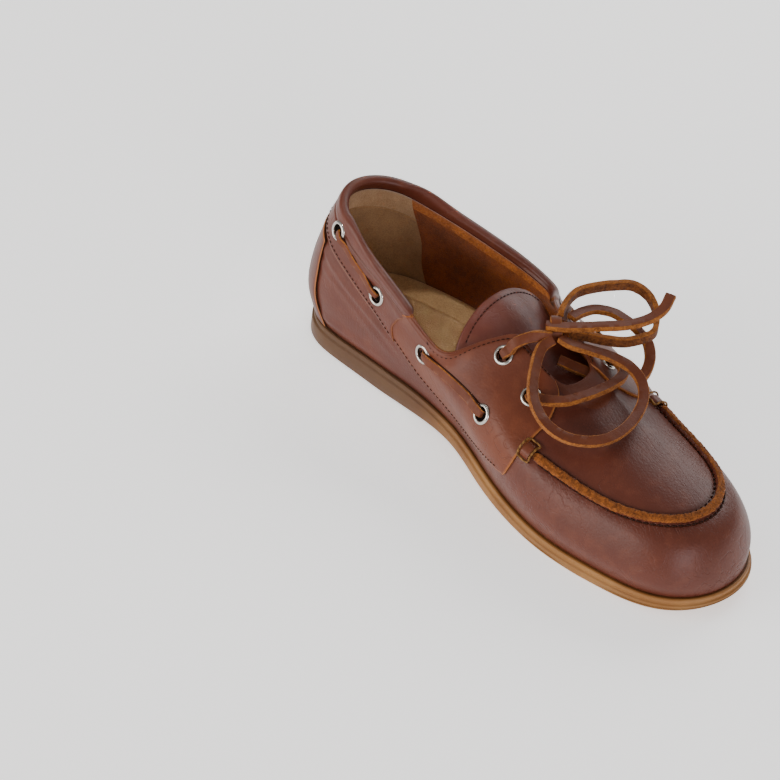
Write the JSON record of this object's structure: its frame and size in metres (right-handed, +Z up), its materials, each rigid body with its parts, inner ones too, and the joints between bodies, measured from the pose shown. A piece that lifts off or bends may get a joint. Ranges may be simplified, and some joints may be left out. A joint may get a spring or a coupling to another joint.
{
  "type": "boat shoe",
  "caption": "Low leather boat shoe for the left foot with a moccasin toe seam, side lacing through metal eyelets, a tied leather bow and a gum rubber sole.",
  "frame": {"origin": "middle of the shoe's box at floor level, on the sole's underside", "axes": "+X towards the toe, +Y towards the wearer's left, +Z up from the floor"},
  "size_m": [0.2596, 0.0968, 0.0817],
  "materials": {
    "upper_leather": "glossy red-brown full-grain leather with fine creases",
    "raw_edge_leather": "raw cut leather edge, orange-brown and matt",
    "insole_suede": "beige suede footbed",
    "heel_lining": "beige suede heel grip",
    "quarter_lining": "orange-brown rough leather lining",
    "gum_rubber": "tan gum rubber, satin",
    "lace_leather": "brown leather lace with raw orange-brown edges",
    "eyelet_nickel": "polished nickel",
    "thread_brown": "dark brown waxed thread",
    "thread_tan": "tan waxed thread"
  },
  "bodies": {
    "root": {"outsole": "gum_rubber", "insole": "insole_suede", "upper": "upper_leather", "seam_ridge": "raw_edge_leather", "tongue": "upper_leather", "saddle_medial": "upper_leather", "saddle_lateral": "upper_leather", "collar_band": "upper_leather", "heel_strip": "upper_leather", "eyelet_medial_1": "eyelet_nickel", "eyelet_medial_2": "eyelet_nickel", "eyelet_medial_3": "eyelet_nickel", "eyelet_medial_4": "eyelet_nickel", "eyelet_medial_5": "eyelet_nickel", "eyelet_medial_6": "eyelet_nickel", "eyelet_lateral_1": "eyelet_nickel", "eyelet_lateral_2": "eyelet_nickel", "eyelet_lateral_3": "eyelet_nickel", "eyelet_lateral_4": "eyelet_nickel", "eyelet_lateral_5": "eyelet_nickel", "eyelet_lateral_6": "eyelet_nickel", "lace_run_medial_rear": "lace_leather", "lace_run_medial_front": "lace_leather", "lace_lead_medial": "lace_leather", "lace_run_lateral_rear": "lace_leather", "lace_run_lateral_front": "lace_leather", "lace_lead_lateral": "lace_leather", "lace_bar_front": "lace_leather", "lace_bar_inner": "lace_leather", "lace_knot": "lace_leather", "lace_loop_lateral": "lace_leather", "lace_loop_front": "lace_leather", "lace_end_tip": "lace_leather", "lace_end_tucked": "lace_leather"}
  },
  "joints": []
}
